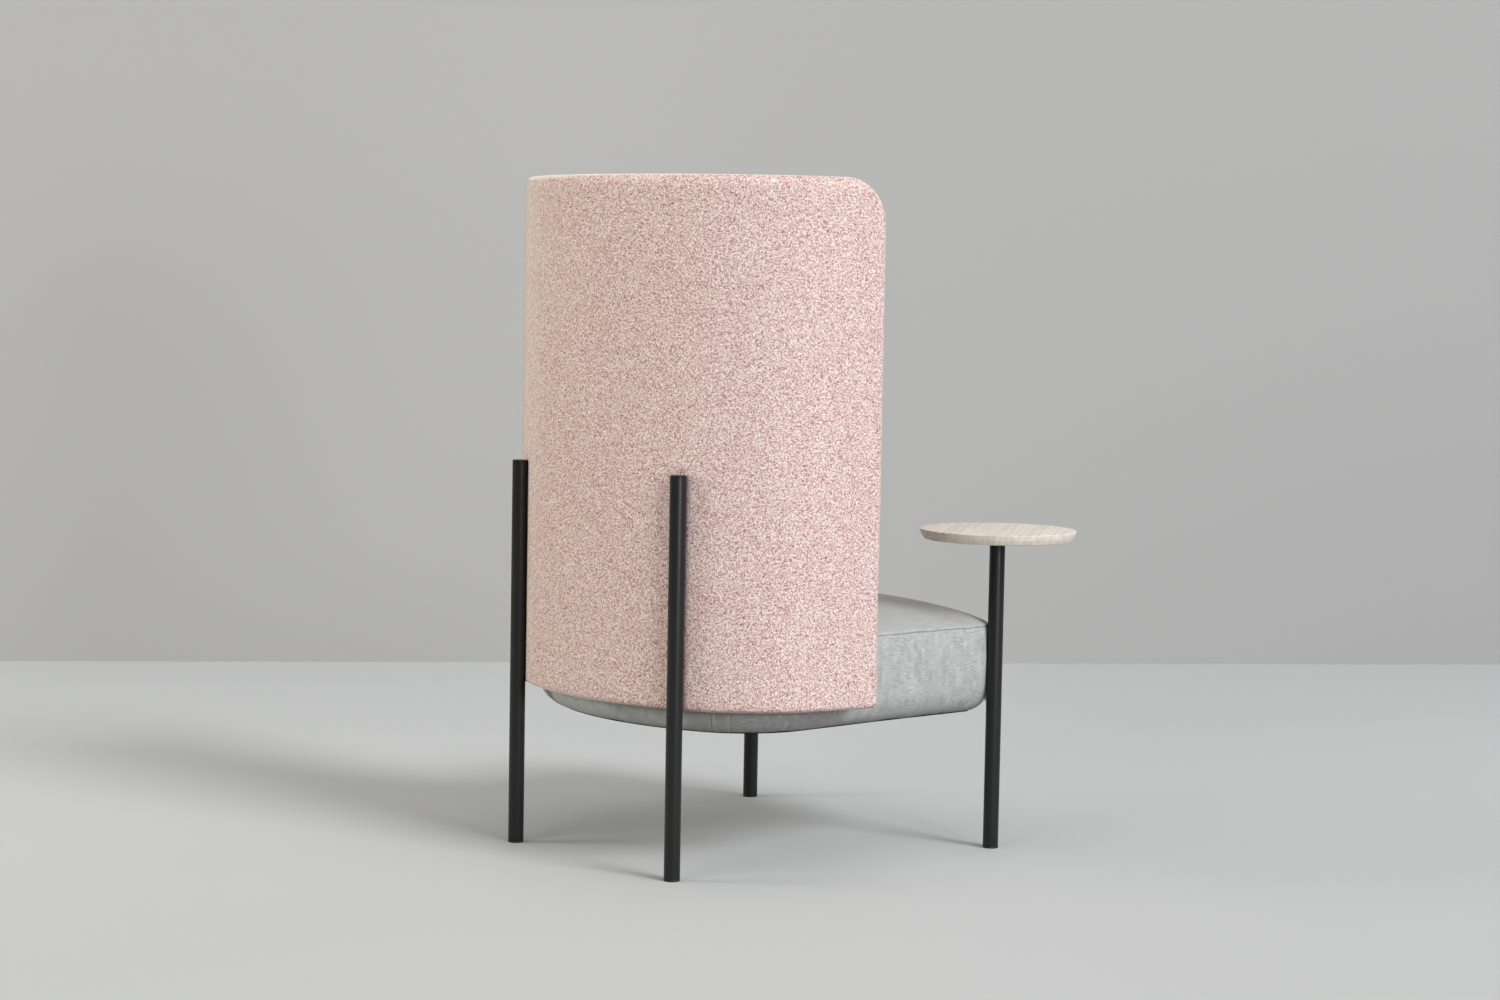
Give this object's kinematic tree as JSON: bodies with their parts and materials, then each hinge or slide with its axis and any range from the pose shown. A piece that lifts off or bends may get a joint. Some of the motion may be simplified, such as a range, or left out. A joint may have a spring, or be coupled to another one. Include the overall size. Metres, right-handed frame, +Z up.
{
  "type": "high back lounge chair",
  "caption": "High back lounge chair: a tall wraparound padded back and a crowned seat on black steel posts, with a small round side table on one post.",
  "frame": {"origin": "on the floor, under the centre of the chair's bounding box", "axes": "+Z up, the sitter faces -Y, +X to the sitter's left; the table is at -X, -Y"},
  "size_m": [0.8612, 0.8394, 1.202],
  "materials": {
    "back_fabric": "flecked felted wool, cream with rose and a few dark flecks",
    "seat_fabric": "light grey cross weave",
    "dust_cloth": "thin non-woven, black",
    "foam": "cut upholstery foam",
    "plywood": "moulded birch plywood, bare",
    "timber": "planed beech, bare",
    "webbing": "woven elastic strap",
    "black_steel": "satin black powder coat",
    "black_plastic": "moulded, matte",
    "pale_ash": "pale ash, matt lacquer",
    "zinc_steel": "zinc plated"
  },
  "bodies": {
    "root": {"back_base_strip": "back_fabric", "back_core": "plywood", "back_cover": "back_fabric", "back_edge_foam": "foam", "back_fixing_bolt_1": "zinc_steel", "back_fixing_bolt_2": "zinc_steel", "back_fixing_bolt_3": "zinc_steel", "back_fixing_bolt_4": "zinc_steel", "back_fixing_nut_1": "zinc_steel", "back_fixing_nut_2": "zinc_steel", "back_fixing_nut_3": "zinc_steel", "back_fixing_nut_4": "zinc_steel", "back_fixing_sleeve_1": "zinc_steel", "back_fixing_sleeve_2": "zinc_steel", "back_fixing_sleeve_3": "zinc_steel", "back_fixing_sleeve_4": "zinc_steel", "back_inner_foam": "foam", "back_outer_foam": "foam", "front_left_cap": "black_steel", "front_left_glide": "black_plastic", "front_left_lower_bolt": "zinc_steel", "front_left_post": "black_steel", "front_left_upper_bolt": "zinc_steel", "front_right_glide": "black_plastic", "front_right_lower_bolt": "zinc_steel", "front_right_post": "black_steel", "front_right_upper_bolt": "zinc_steel", "rear_left_cap": "black_steel", "rear_left_glide": "black_plastic", "rear_left_lower_bolt": "zinc_steel", "rear_left_post": "black_steel", "rear_left_upper_bolt": "zinc_steel", "rear_right_cap": "black_steel", "rear_right_glide": "black_plastic", "rear_right_lower_bolt": "zinc_steel", "rear_right_post": "black_steel", "rear_right_upper_bolt": "zinc_steel", "seat_cover": "seat_fabric", "seat_dust_cloth": "dust_cloth", "seat_foam": "foam", "seat_front_left_block": "timber", "seat_front_rail": "timber", "seat_front_right_block": "timber", "seat_left_rail": "timber", "seat_rear_left_block": "timber", "seat_rear_rail": "timber", "seat_rear_right_block": "timber", "seat_right_rail": "timber", "seat_webbing_1": "webbing", "seat_webbing_2": "webbing", "seat_webbing_3": "webbing", "seat_webbing_4": "webbing", "seat_webbing_5": "webbing", "table_flange": "black_steel", "table_screw_1": "zinc_steel", "table_screw_2": "zinc_steel", "table_screw_3": "zinc_steel", "table_screw_4": "zinc_steel", "table_top": "pale_ash"}
  },
  "joints": []
}
